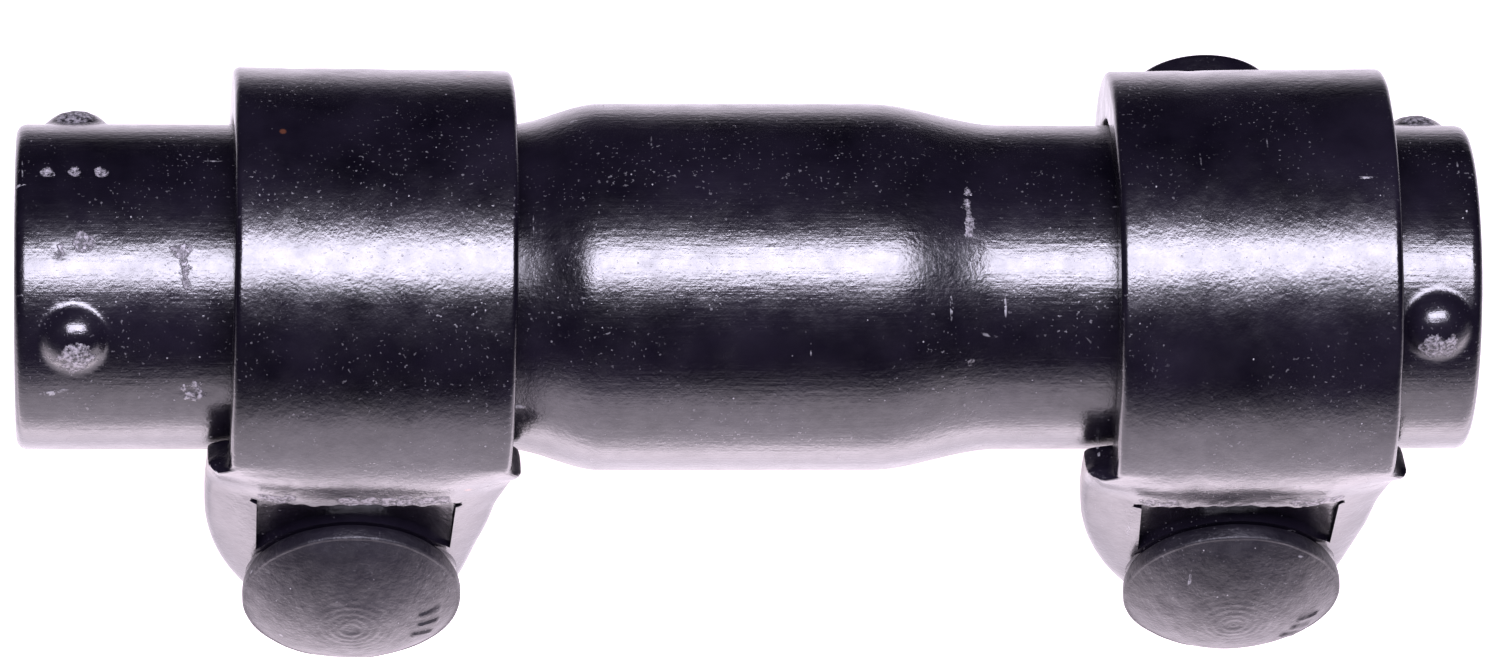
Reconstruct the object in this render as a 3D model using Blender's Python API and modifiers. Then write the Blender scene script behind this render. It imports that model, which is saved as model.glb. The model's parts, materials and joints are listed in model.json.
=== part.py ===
"""Adjusting sleeve of a heavy-duty steering rod, with its two strap clamps.

A thick tube with swaged ends, threaded inside, carries two U-shaped straps. Each strap is
drawn together by a round-headed bolt, a washer and a lock nut with a nylon ring. The strap
slides along its end of the tube, between the bulge in the middle and the stop nubs.

The tube lies along X, the bolt heads face -Y and the strap tips stand on Z = 0.
Lengths are in metres: the constants below are millimetres times MM.
"""

import math

import bmesh
import bpy
from mathutils import Vector

MM = 0.001

# Sleeve tube
SLEEVE_LENGTH = 226.4 * MM
NECK_RADIUS = 25.4 * MM  # 2 inch swaged ends
BULGE_RADIUS = 28.7 * MM
BORE_RADIUS = 14.75 * MM  # crest of the 1 1/4 inch - 12 thread
CHAMBER_RADIUS = 19.0 * MM  # unthreaded middle of the bore
BULGE_END = {"left": -22.4 * MM, "right": 19.8 * MM}  # ends of the full diameter
SWAGE_LENGTH = {"left": 14.5 * MM, "right": 20 * MM}  # S-shaped steps down to the necks
END_FILLET = 1.8 * MM
BORE_CHAMFER = 1.6 * MM
SLEEVE_SIDES = 48
SWAGE_STEPS = 6

# Stop nubs pressed out of the tube near its ends, three to a ring
NUB_BASE_RADIUS = 5.2 * MM
NUB_HEIGHT = 2.7 * MM
NUB_FROM_END = {"left": 9.2 * MM, "right": 7.0 * MM}
NUB_FIRST_ANGLE = {"left": 37.5, "right": 42.5}  # degrees up from -Y
NUB_COUNT = 3

# Closing slots, cut through the wall half way between two nubs
SLOT_WIDTH = 3 * MM
SLOT_LENGTH = 74 * MM
SLOT_END_RADIUS = 3 * MM

# Clamp straps
CLAMP_X = {"left": -58.4 * MM, "right": 78.6 * MM}
CLAMP_TILT = {"left": -1.5, "right": 1.5}  # degrees about the tube, + drops the bolt head
CLAMP_COCK = {"left": 1.5, "right": -1.0}  # degrees out of square on the tube
STRAP_RADIUS = 34 * MM  # outside of the band
STRAP_THICKNESS = 7.8 * MM
BAND_HALF_WIDTH = 21.8 * MM
EAR_HALF_WIDTH = {"left": 24.3 * MM, "right": 25 * MM}
SHOULDER_SHIFT = {"left": -0.8 * MM, "right": -1 * MM}  # off the band's middle, along X
BOLT_SHIFT = {"left": -1.7 * MM, "right": -1.3 * MM}  # the ears' lower ends share this
EAR_SHIFT_DEPTHS = (8 * MM, 36 * MM)  # depths between which the one becomes the other
WRAP_ANGLE = 14  # degrees that the band wraps below the tube's middle
EAR_ANGLE = 3  # degrees that the ears lean together
SHOULDER_BEND_RADIUS = 24 * MM
EAR_FLARE = (2 * MM, 6 * MM)  # depths below the tube's axis, where the ears widen
EAR_WIDEST = 15 * MM
EAR_TIP = 56 * MM
EDGE_FALL = 4.2 * MM  # how far the ears' outer face falls away to their edges
EDGE_FALL_DEPTHS = (0, 14 * MM)
EDGE_FALL_START = 0.4  # share of the half width where the fall begins
INNER_FALL_SHARE = 0.2  # the inner face follows by this share
TIP_ROUND = 5 * MM
STRAP_EDGE = 1.6 * MM
BAND_STEPS = 10

# Bolt line and seats, measured from the strap's middle
BOLT_DEPTH = 36.8 * MM
SEAT = 31 * MM
SEAT_RADIUS = 17.8 * MM
SEAT_CHANNEL_HALF = 15 * MM
SEAT_TOP = 13.4 * MM  # depth below the tube's axis
SEAT_CUT = 10 * MM  # how far the seat's cutter reaches out from it
BOSS_RADIUS = 16.6 * MM
BOSS_ROOT = 3.2 * MM  # half of the boss's height, most of it inside the ear
SQUARE_HOLE = 17 * MM
ROUND_HOLE_RADIUS = 8.75 * MM
HOLE_CUT = 30 * MM

# M16 x 90 round-head bolt with a square neck
BOLT_RADIUS = 8 * MM
BOLT_LENGTH = 90 * MM
HEAD_RADIUS = 17.25 * MM
HEAD_RIM = 2.3 * MM
HEAD_DOME = 6.2 * MM
NECK_SIDE = 16 * MM
NECK_LENGTH = 8 * MM
BOLT_CHAMFER = 1.5 * MM
BOLT_SIDES = 32  # the bolt's, and those of the round pieces on it
HEAD_EDGE = 0.4 * MM  # chamfer under the head's rim

# Washer, nut and nylon ring
GAP = 0.3 * MM
NUT_END = 60.6 * MM  # from the strap's middle, the nut being a few turns slack
NUT_HEIGHT = 20 * MM
HEX_HEIGHT = 13.5 * MM
NUT_FLATS = 24 * MM
NUT_CHAMFER = 1.2 * MM
COLLAR_RADIUS = 11.2 * MM
COLLAR_EDGE = 0.8 * MM
CLEARANCE_RADIUS = BOLT_RADIUS + GAP
RING_RADIUS = 9.9 * MM
RING_HEIGHT = 4 * MM
LIP_RADIUS = 9.3 * MM
LIP_HEIGHT = 0.9 * MM
WASHER_RADIUS = 15 * MM
WASHER_THICKNESS = 3 * MM

PAINT = {"base": (0.012, 0.012, 0.016), "roughness": 0.22, "metallic": 0.0}
NYLON = {"base": (0.02, 0.02, 0.024), "roughness": 0.4, "metallic": 0.0}


def clear_scene():
    for obj in list(bpy.data.objects):
        bpy.data.objects.remove(obj, do_unlink=True)


def new_collection(name):
    collection = bpy.data.collections.new(name)
    bpy.context.scene.collection.children.link(collection)
    return collection


def material_for(name, look):
    material = bpy.data.materials.new(name)
    material.use_nodes = True
    shader = material.node_tree.nodes["Principled BSDF"]
    shader.inputs["Base Color"].default_value = (*look["base"], 1)
    shader.inputs["Roughness"].default_value = look["roughness"]
    shader.inputs["Metallic"].default_value = look["metallic"]
    return material


def object_from(name, bm, collection):
    bmesh.ops.recalc_face_normals(bm, faces=bm.faces)
    mesh = bpy.data.meshes.new(name)
    bm.to_mesh(mesh)
    bm.free()
    obj = bpy.data.objects.new(name, mesh)
    collection.objects.link(obj)
    return obj


def turned(name, profile, sides, collection, closed=True):
    """A solid of revolution about local Z. The profile's (radius, height) points run down its
    outer side; an open profile starts and ends on the axis."""
    bm = bmesh.new()
    points = [bm.verts.new((radius, 0, height)) for radius, height in profile]
    for first, second in zip(points, points[1:] + points[:1] if closed else points[1:]):
        bm.edges.new((first, second))
    mesh = bpy.data.meshes.new(name)
    bm.to_mesh(mesh)
    bm.free()
    obj = bpy.data.objects.new(name, mesh)
    collection.objects.link(obj)
    screw = obj.modifiers.new("Turn", "SCREW")
    screw.steps = screw.render_steps = sides
    screw.use_merge_vertices = True
    screw.merge_threshold = 0.00001
    return obj


def cylinder(name, radius, height, sides, collection):
    """A cylinder on local Z, centred on its origin."""
    bm = bmesh.new()
    bmesh.ops.create_cone(
        bm, cap_ends=True, segments=sides, radius1=radius, radius2=radius, depth=height
    )
    return object_from(name, bm, collection)


def box(name, size, collection):
    bm = bmesh.new()
    bmesh.ops.create_cube(bm, size=1)
    bmesh.ops.scale(bm, vec=size, verts=bm.verts)
    return object_from(name, bm, collection)


def prism(name, outline, height, collection):
    """A flat (x, y) outline drawn out along local Z, centred on its origin."""
    bm = bmesh.new()
    face = bm.faces.new([bm.verts.new((x, y, -height / 2)) for x, y in outline])
    sweep = bmesh.ops.extrude_face_region(bm, geom=[face])
    raised = [item for item in sweep["geom"] if isinstance(item, bmesh.types.BMVert)]
    bmesh.ops.translate(bm, vec=(0, 0, height), verts=raised)
    return object_from(name, bm, collection)


def boolean(target, other, operation):
    modifier = target.modifiers.new(f"{operation.title()} {other.name}", "BOOLEAN")
    modifier.object = other
    modifier.operation = operation


def smooth_step(share):
    share = min(max(share, 0), 1)
    return share * share * (3 - 2 * share)


def smooth_ramp(value, low, high):
    return smooth_step((value - low) / (high - low))


def around_tube(angle, radius):
    """(y, z) of a point on the tube, with the angle in degrees up from -Y."""
    turn = math.radians(angle)
    return -radius * math.cos(turn), radius * math.sin(turn)


# --- Sleeve -------------------------------------------------------------------------------


def swaged_step(side, sign, small, large, steps):
    """(radius, x) points of one S-shaped step, from the bulge outwards."""
    points = []
    for step in range(steps + 1):
        share = step / steps
        radius = large + (small - large) * smooth_step(share)
        points.append((radius, BULGE_END[side] + sign * share * SWAGE_LENGTH[side]))
    return points


def sleeve_half(side, sign):
    """(outer, inner) points of one half, each from the middle to the end."""
    half = SLEEVE_LENGTH / 2
    outer = swaged_step(side, sign, NECK_RADIUS, BULGE_RADIUS, SWAGE_STEPS)
    for step in range(4):
        turn = math.radians(90 - 30 * step)
        outer.append((
            NECK_RADIUS - END_FILLET * (1 - math.sin(turn)),
            sign * (half - END_FILLET * (1 - math.cos(turn))),
        ))
    inner = swaged_step(side, sign, BORE_RADIUS, CHAMBER_RADIUS, SWAGE_STEPS // 2)
    inner.append((BORE_RADIUS, sign * (half - BORE_CHAMFER)))
    inner.append((BORE_RADIUS + BORE_CHAMFER, sign * half))
    return outer, inner


def sleeve_profile():
    left_outer, left_inner = sleeve_half("left", -1)
    right_outer, right_inner = sleeve_half("right", 1)
    return right_outer[::-1] + left_outer + left_inner[::-1] + right_inner


def add_nubs(sleeve, side, sign, cutters):
    """Round stop nubs, each the cap of a ball sunk in the wall."""
    ball = (NUB_BASE_RADIUS**2 + NUB_HEIGHT**2) / (2 * NUB_HEIGHT)
    x = sign * (SLEEVE_LENGTH / 2 - NUB_FROM_END[side])
    for index in range(NUB_COUNT):
        angle = NUB_FIRST_ANGLE[side] + 360 / NUB_COUNT * index
        y, z = around_tube(angle, NECK_RADIUS + NUB_HEIGHT - ball)
        bm = bmesh.new()
        bmesh.ops.create_uvsphere(bm, u_segments=16, v_segments=10, radius=ball)
        nub = object_from(f"{side}_nub_{index}", bm, cutters)
        nub.parent = sleeve.parent
        nub.location = (x, y, z)
        nub.rotation_euler = (math.radians(90 - angle), 0, 0)
        boolean(sleeve, nub, "UNION")


def cut_slot(sleeve, side, sign, cutters):
    """The slot that lets the end of the tube close on its thread."""
    angle = NUB_FIRST_ANGLE[side] + 180
    half = SLEEVE_LENGTH / 2
    middle = (NECK_RADIUS + BORE_RADIUS) / 2
    depth = 3 * (NECK_RADIUS - BORE_RADIUS)
    y, z = around_tube(angle, middle)
    run = box(f"{side}_slot", (2 * SLOT_LENGTH, SLOT_WIDTH, depth), cutters)
    run.location = (sign * half, y, z)
    end = cylinder(f"{side}_slot_end", SLOT_END_RADIUS, depth, 16, cutters)
    end.location = (sign * (half - SLOT_LENGTH), y, z)
    for cutter in (run, end):
        cutter.parent = sleeve.parent
        cutter.rotation_euler = (math.radians(90 - angle), 0, 0)
        boolean(sleeve, cutter, "DIFFERENCE")


def make_sleeve(root, parts, cutters):
    sleeve = turned("sleeve_tube", sleeve_profile(), SLEEVE_SIDES, parts)
    sleeve.parent = root
    sleeve.rotation_euler = (0, math.radians(90), 0)
    for side, sign in (("left", -1), ("right", 1)):
        add_nubs(sleeve, side, sign, cutters)
        cut_slot(sleeve, side, sign, cutters)
    return sleeve


# --- Strap --------------------------------------------------------------------------------


def strap_path():
    """(y, z, lean) down the strap's outer face, from the top of the band to the tip of the
    front ear. Lean is the angle in radians that the face has turned from straight up."""
    path = []
    for step in range(BAND_STEPS + 1):
        lean = math.radians(-90 + (90 + WRAP_ANGLE) * step / BAND_STEPS)
        path.append((-STRAP_RADIUS * math.cos(lean), -STRAP_RADIUS * math.sin(lean), lean))
    y, z, lean = path[-1]
    bend = math.radians(WRAP_ANGLE - EAR_ANGLE) / 3
    for _ in range(3):
        length = SHOULDER_BEND_RADIUS * bend
        y += length * math.sin(lean - bend / 2)
        z -= length * math.cos(lean - bend / 2)
        lean -= bend
        path.append((y, z, lean))
    straight = -z
    for share in (0.2, 0.4, 0.58, 0.73, 0.85, 0.93, 0.975, 0.995):
        depth = straight + (EAR_TIP - straight) * share
        path.append((y + (depth - straight) * math.tan(lean), -depth, lean))
    return path


def strap_width(side, depth):
    """(half width, middle) of the strap at a depth below the tube's axis."""
    flare = smooth_ramp(depth, *EAR_FLARE)
    half = BAND_HALF_WIDTH + (EAR_HALF_WIDTH[side] - BAND_HALF_WIDTH) * flare
    if depth > EAR_WIDEST:
        half *= math.sqrt(1 - ((depth - EAR_WIDEST) / (EAR_TIP - EAR_WIDEST)) ** 2)
    lower = smooth_ramp(depth, *EAR_SHIFT_DEPTHS)
    shift = SHOULDER_SHIFT[side] + (BOLT_SHIFT[side] - SHOULDER_SHIFT[side]) * lower
    return half, shift * flare


def strap_section(side, depth):
    """(across, out) points round the strap's section, with out measured from its outer face."""
    half, middle = strap_width(side, depth)
    edge = min(STRAP_EDGE, half / 2)
    fall = EDGE_FALL * smooth_ramp(depth, *EDGE_FALL_DEPTHS)
    tip = max(depth - EAR_TIP + TIP_ROUND, 0) / TIP_ROUND
    thin = math.sqrt(1 - (0.97 * min(tip, 1)) ** 2)
    outline = []
    for across_sign, out_sign in ((1, 1), (-1, 1), (-1, -1), (1, -1)):
        for step in range(3):
            turn = math.radians(45 * step)
            beside, up = math.sin(turn), math.cos(turn)
            if across_sign == out_sign:
                beside, up = up, beside
            outline.append((
                across_sign * (half - edge + edge * beside),
                out_sign * (STRAP_THICKNESS / 2 - edge + edge * up),
            ))
        if across_sign == out_sign:
            inner = half - edge
            for share in (0.62, 0.0, -0.62):
                outline.append((across_sign * inner * share, out_sign * STRAP_THICKNESS / 2))
    section = []
    for across, out in outline:
        follow = 1 if out > 0 else INNER_FALL_SHARE
        past = max(0, (abs(across) / half - EDGE_FALL_START) / (1 - EDGE_FALL_START))
        drop = fall * thin * follow * past**2
        section.append((middle + across, out * thin - STRAP_THICKNESS / 2 - drop))
    return section


def strap_blank(side, collection):
    """The strap without its seats and holes: its section carried along the U."""
    front = strap_path()
    stations = [(y, z, lean, 1) for y, z, lean in reversed(front)]
    stations += [(-y, z, lean, -1) for y, z, lean in front[1:]]
    bm = bmesh.new()
    rings = []
    for y, z, lean, facing in stations:
        ring = []
        for across, out in strap_section(side, -z):
            normal_y, normal_z = -facing * math.cos(lean), -math.sin(lean)
            ring.append(bm.verts.new((across, y + out * normal_y, z + out * normal_z)))
        rings.append(ring)
    for first, second in zip(rings, rings[1:]):
        for index in range(len(first)):
            after = (index + 1) % len(first)
            bm.faces.new((first[index], first[after], second[after], second[index]))
    bm.faces.new(rings[0])
    bm.faces.new(rings[-1])
    return object_from(f"{side}_clamp_strap", bm, collection)


def seat_outline():
    """A disc round the bolt's line, with a channel from it up to the top of the ear."""
    corner = math.degrees(math.acos(SEAT_CHANNEL_HALF / SEAT_RADIUS))
    rise = BOLT_DEPTH - SEAT_TOP
    outline = [(SEAT_CHANNEL_HALF, rise), (-SEAT_CHANNEL_HALF, rise)]
    steps = 36
    for step in range(steps + 1):
        turn = math.radians(180 - corner + (180 + 2 * corner) * step / steps)
        outline.append((SEAT_RADIUS * math.cos(turn), SEAT_RADIUS * math.sin(turn)))
    return outline


def make_strap(side, clamp, parts, cutters):
    strap = strap_blank(side, parts)
    strap.parent = clamp
    for place, facing in (("front", -1), ("back", 1)):
        boss = cylinder(f"{side}_{place}_boss", BOSS_RADIUS, 2 * BOSS_ROOT, 48, cutters)
        boss.location = (BOLT_SHIFT[side], facing * (SEAT - BOSS_ROOT + MM), -BOLT_DEPTH)
        seat = prism(f"{side}_{place}_seat", seat_outline(), SEAT_CUT, cutters)
        seat.location = (BOLT_SHIFT[side], facing * (SEAT + SEAT_CUT / 2), -BOLT_DEPTH)
        if place == "front":
            hole = box(f"{side}_{place}_hole", (SQUARE_HOLE, SQUARE_HOLE, HOLE_CUT), cutters)
        else:
            hole = cylinder(f"{side}_{place}_hole", ROUND_HOLE_RADIUS, HOLE_CUT, BOLT_SIDES, cutters)
        hole.location = (BOLT_SHIFT[side], facing * SEAT, -BOLT_DEPTH)
        for cutter in (boss, seat, hole):
            cutter.parent = clamp
            cutter.rotation_euler = (math.radians(90), 0, 0)
            boolean(strap, cutter, "UNION" if cutter is boss else "DIFFERENCE")
    return strap


# --- Bolt, washer, nut and ring: each made on local Z, with the head at +Z ------------------


def make_bolt(side, line, parts, cutters):
    ball = (HEAD_RADIUS**2 + HEAD_DOME**2) / (2 * HEAD_DOME)
    reach = math.asin(HEAD_RADIUS / ball)
    profile = []
    for step in range(7):
        turn = reach * step / 6
        height = HEAD_RIM + HEAD_DOME - ball * (1 - math.cos(turn))
        profile.append((ball * math.sin(turn), height))
    profile += [
        (HEAD_RADIUS, HEAD_EDGE),
        (HEAD_RADIUS - HEAD_EDGE, 0),
        (BOLT_RADIUS, 0),
        (BOLT_RADIUS, BOLT_CHAMFER - BOLT_LENGTH),
        (BOLT_RADIUS - BOLT_CHAMFER, -BOLT_LENGTH),
        (0, -BOLT_LENGTH),
    ]
    bolt = turned(f"{side}_clamp_bolt", profile, BOLT_SIDES, parts, closed=False)
    bolt.parent = line
    bolt.location = (0, 0, SEAT + GAP)
    neck = box(f"{side}_square_neck", (NECK_SIDE, NECK_SIDE, NECK_LENGTH + MM), cutters)
    neck.parent = line
    neck.location = (0, 0, SEAT + GAP - NECK_LENGTH / 2 + MM / 2)
    boolean(bolt, neck, "UNION")
    return bolt


def make_washer(side, line, parts):
    top = NUT_HEIGHT - NUT_END + GAP + WASHER_THICKNESS
    profile = [
        (WASHER_RADIUS, top),
        (WASHER_RADIUS, top - WASHER_THICKNESS),
        (CLEARANCE_RADIUS, top - WASHER_THICKNESS),
        (CLEARANCE_RADIUS, top),
    ]
    washer = turned(f"{side}_washer", profile, BOLT_SIDES, parts)
    washer.parent = line
    return washer


def make_nut(side, line, parts, cutters):
    corner = NUT_FLATS / 2 / math.cos(math.radians(30))
    nut = cylinder(f"{side}_lock_nut", corner, HEX_HEIGHT, 6, parts)
    nut.parent = line
    nut.location = (0, 0, NUT_HEIGHT - NUT_END - HEX_HEIGHT / 2)
    low, high = -NUT_END, NUT_HEIGHT - NUT_END
    face, wide = NUT_FLATS / 2 - NUT_CHAMFER / 2, corner + NUT_CHAMFER / 3
    envelope_profile = [
        (0, high + MM),
        (face, high + MM),
        (face, high),
        (wide, high - NUT_CHAMFER),
        (wide, high - HEX_HEIGHT + NUT_CHAMFER),
        (face, high - HEX_HEIGHT),
        (face, high - HEX_HEIGHT - MM),
        (0, high - HEX_HEIGHT - MM),
    ]
    envelope = turned(
        f"{side}_nut_chamfer", envelope_profile, BOLT_SIDES, cutters, closed=False
    )
    collar_profile = [
        (0, high - HEX_HEIGHT / 2),
        (COLLAR_RADIUS, high - HEX_HEIGHT / 2),
        (COLLAR_RADIUS, low + COLLAR_EDGE),
        (COLLAR_RADIUS - COLLAR_EDGE, low),
        (0, low),
    ]
    collar = turned(f"{side}_nut_collar", collar_profile, BOLT_SIDES, cutters, closed=False)
    ring_low = low + LIP_HEIGHT
    bore_profile = [
        (0, high + MM),
        (CLEARANCE_RADIUS, high + MM),
        (CLEARANCE_RADIUS, ring_low + RING_HEIGHT + GAP),
        (RING_RADIUS + GAP, ring_low + RING_HEIGHT + GAP),
        (RING_RADIUS + GAP, ring_low - GAP),
        (LIP_RADIUS, ring_low - GAP),
        (LIP_RADIUS, low - MM),
        (0, low - MM),
    ]
    bore = turned(f"{side}_nut_bore", bore_profile, BOLT_SIDES, cutters, closed=False)
    for other, operation in (
        (envelope, "INTERSECT"),
        (collar, "UNION"),
        (bore, "DIFFERENCE"),
    ):
        other.parent = line
        boolean(nut, other, operation)
    return nut


def make_ring(side, line, parts):
    low = LIP_HEIGHT - NUT_END
    profile = [
        (RING_RADIUS, low + RING_HEIGHT),
        (RING_RADIUS, low),
        (CLEARANCE_RADIUS, low),
        (CLEARANCE_RADIUS, low + RING_HEIGHT),
    ]
    ring = turned(f"{side}_nylon_ring", profile, BOLT_SIDES, parts)
    ring.parent = line
    return ring


# --- Assembly -----------------------------------------------------------------------------


def empty(name, parent, collection):
    obj = bpy.data.objects.new(name, None)
    collection.objects.link(obj)
    obj.parent = parent
    return obj


def make_clamp(side, root, parts, cutters):
    """One clamp: an empty on the tube's axis, and under it an empty on the bolt's axis."""
    clamp = empty(f"{side}_clamp", root, cutters)
    clamp.location = (CLAMP_X[side], 0, 0)
    clamp.rotation_euler = (math.radians(CLAMP_TILT[side]), math.radians(CLAMP_COCK[side]), 0)
    line = empty(f"{side}_bolt_line", clamp, cutters)
    line.location = (BOLT_SHIFT[side], 0, -BOLT_DEPTH)
    line.rotation_euler = (math.radians(90), 0, 0)
    return [
        make_strap(side, clamp, parts, cutters),
        make_bolt(side, line, parts, cutters),
        make_washer(side, line, parts),
        make_nut(side, line, parts, cutters),
        make_ring(side, line, parts),
    ]


def stand_on_floor(root, pieces):
    """Puts the assembly's box over the origin, with its lowest point at Z = 0."""
    bpy.context.view_layer.update()
    graph = bpy.context.evaluated_depsgraph_get()
    corners = []
    for piece in pieces:
        shape = piece.evaluated_get(graph)
        corners += [shape.matrix_world @ vertex.co for vertex in shape.data.vertices]
    low = Vector([min(corner[axis] for corner in corners) for axis in range(3)])
    high = Vector([max(corner[axis] for corner in corners) for axis in range(3)])
    root.location = (-(low.x + high.x) / 2, -(low.y + high.y) / 2, -low.z)
    bpy.context.view_layer.update()


def main():
    clear_scene()
    parts = new_collection("Adjusting sleeve")
    cutters = new_collection("Cutters")
    root = empty("sleeve_axis", None, cutters)
    pieces = [make_sleeve(root, parts, cutters)]
    for side in ("left", "right"):
        pieces += make_clamp(side, root, parts, cutters)
    for piece in pieces:
        look = NYLON if "nylon" in piece.name else PAINT
        piece.data.materials.append(material_for(f"{piece.name}_paint", look))
    for helper in cutters.objects:
        helper.hide_render = True
        helper.display_type = "WIRE"
    stand_on_floor(root, pieces)


main()
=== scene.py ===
"""Looks of the adjusting sleeve: fine surfaces, black paint, studio and camera.

Every piece is built in the frame's own place: the tube's axis and the bolts' lines come from the
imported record, and the sizes below are the design's, in millimetres times MM.
"""

import json
import math

import bmesh
import bpy
import numpy as np
from mathutils import Euler, Matrix, Vector


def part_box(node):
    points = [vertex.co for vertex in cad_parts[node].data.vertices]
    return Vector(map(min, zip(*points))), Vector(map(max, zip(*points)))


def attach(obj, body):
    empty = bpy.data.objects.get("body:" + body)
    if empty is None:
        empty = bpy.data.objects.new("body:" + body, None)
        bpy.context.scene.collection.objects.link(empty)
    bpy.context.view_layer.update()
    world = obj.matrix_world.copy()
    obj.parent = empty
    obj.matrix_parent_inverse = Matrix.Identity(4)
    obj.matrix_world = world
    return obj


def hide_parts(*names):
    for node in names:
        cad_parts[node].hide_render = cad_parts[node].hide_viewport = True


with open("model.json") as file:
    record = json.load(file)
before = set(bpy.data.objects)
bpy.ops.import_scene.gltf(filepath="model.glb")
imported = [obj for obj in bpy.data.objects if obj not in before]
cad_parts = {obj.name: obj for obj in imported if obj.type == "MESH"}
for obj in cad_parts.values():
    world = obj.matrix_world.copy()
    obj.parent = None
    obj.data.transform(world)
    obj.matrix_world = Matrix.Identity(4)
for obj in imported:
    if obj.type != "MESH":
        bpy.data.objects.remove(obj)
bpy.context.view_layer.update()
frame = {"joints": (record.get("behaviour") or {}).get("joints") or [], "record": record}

MM = 0.001

# Sleeve tube
NECK_RADIUS = 25.4 * MM
BULGE_RADIUS = 28.7 * MM
BULGE_END = {"left": -22.4 * MM, "right": 19.8 * MM}
SWAGE_LENGTH = {"left": 14.5 * MM, "right": 20 * MM}
CHAMBER_RADIUS = 19 * MM
END_FILLET = 1.8 * MM
BORE_CHAMFER = 1.6 * MM
THREAD_CREST = 14.75 * MM  # 1 1/4 inch - 12, right-hand on the left end, left-hand on the right
THREAD_DEPTH = 1.05 * MM
THREAD_PITCH = 25.4 / 12 * MM
THREAD_LENGTH = 72 * MM
THREAD_RUNOUT = 6 * MM
NUB_BASE_RADIUS = 5.2 * MM
NUB_HEIGHT = 2.7 * MM
NUB_FILLET = 1.0 * MM
NUB_WEAR = 0.22 * MM
NUB_WORN_SPOT = (2.2 * MM, 3.6 * MM)  # how far below the nub's middle, and its radius
NUB_FROM_END = {"left": 9.2 * MM, "right": 7.0 * MM}
NUB_FIRST_ANGLE = {"left": 37.5, "right": 42.5}  # degrees up from -Y
PUNCH_MARKS = (-104 * MM, 101)  # x and angle of the middle one of three plain punch dots
PUNCH_PITCH = 4.2 * MM
PUNCH_RADIUS = 1.4 * MM
PUNCH_DEPTH = 0.55 * MM
SLOT_WIDTH = 3 * MM
SLOT_LENGTH = 74 * MM
SLEEVE_RIPPLES = ((0.05 * MM, 26 * MM, 3), (0.02 * MM, 9 * MM, 4))  # (height, wavelength, seed)
RING_WIDTH = 0.35 * MM
SLEEVE_SPACING = 1.5 * MM
SLEEVE_COLUMNS = 224
WALL_MIDDLE = (NECK_RADIUS + CHAMBER_RADIUS) / 2

# Clamp straps
CLAMP_TILT = {"left": -1.5, "right": 1.5}
CLAMP_COCK = {"left": 1.5, "right": -1.0}
STRAP_RADIUS = 34 * MM
STRAP_THICKNESS = 7.8 * MM
BAND_HALF_WIDTH = 21.8 * MM
EAR_HALF_WIDTH = {"left": 24.3 * MM, "right": 25 * MM}
SHOULDER_SHIFT = {"left": -0.8 * MM, "right": -1 * MM}
BOLT_SHIFT = {"left": -1.7 * MM, "right": -1.3 * MM}
EAR_SHIFT_DEPTHS = (8 * MM, 36 * MM)
WRAP_ANGLE = 14
EAR_ANGLE = 3
SHOULDER_BEND_RADIUS = 24 * MM
BEND_STEPS = 16
EAR_STEPS = 48
OUTER_FLARE = (1.2 * MM, 4.6 * MM)  # depths where the ears widen, at the strap's outer face
INNER_FLARE = (7.4 * MM, 9.6 * MM)  # and at its inner face, which makes the scooped ledge
EDGE_CUT = 2.7 * MM  # how much the ears' right-hand edges were cut back
EDGE_CUT_DEPTHS = ((7 * MM, 21 * MM), (52 * MM, 29 * MM))
REAR_DROP = 2.6 * MM  # how much lower the rear ears' shoulders start
EAR_WIDEST = 15 * MM
EAR_TIP = 56 * MM
EDGE_FALL = 4.2 * MM
EDGE_FALL_DEPTHS = (0, 14 * MM)
EDGE_FALL_START = 0.4
INNER_FALL_SHARE = 0.2
TIP_ROUND = 5 * MM
TIP_THINNING = 0.97
STRAP_EDGE = 1.1 * MM
HORN_HEIGHT = 1.5 * MM  # of the corners that stand up beside the ledges
HORN_ACROSS = (BAND_HALF_WIDTH + 1.5 * MM, BAND_HALF_WIDTH + 2.9 * MM)
HORN_DEPTHS = ((2.5 * MM, 4.5 * MM), (13 * MM, 6 * MM))
STRAP_SEED = {"left": 11, "right": 23}
STRAP_RIPPLES = ((0.09 * MM, 24 * MM), (0.055 * MM, 9 * MM))  # (height, wavelength)
# (place across the band, depth) of the shallow dips that the bending rolls left
BAND_DIPS = {
    "left": ((-12.3 * MM, 0.1 * MM), (3.5 * MM, 0.05 * MM)),
    "right": ((-8.4 * MM, 0.12 * MM), (14 * MM, 0.05 * MM)),
}
BAND_DIP_WIDTH = 1.5 * MM

# The lip that the shears tore over each seat
LIP_TEAR_HEIGHT = 4.4 * MM
LIP_TEAR_ENDS = (17.5 * MM, 14.5 * MM)
LIP_RAGGED = 0.4 * MM
LIP_DRAWN_IN = 0.12 * MM
LIP_FACE = 32.4 * MM  # how far in front of the tube's axis the pale spots are
# Stretches where the paint cracked off and a painted highlight marks the lit crease, and the
# distance between the spots along them, in plain millimetres across the band
BARE_AND_HIGHLIGHT_LIP = {"left": ((-14.5, -10.5), (-2, 14)), "right": ((-15.5, -10), (8.5, 15))}
BARE_PITCH = 1.1

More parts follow.
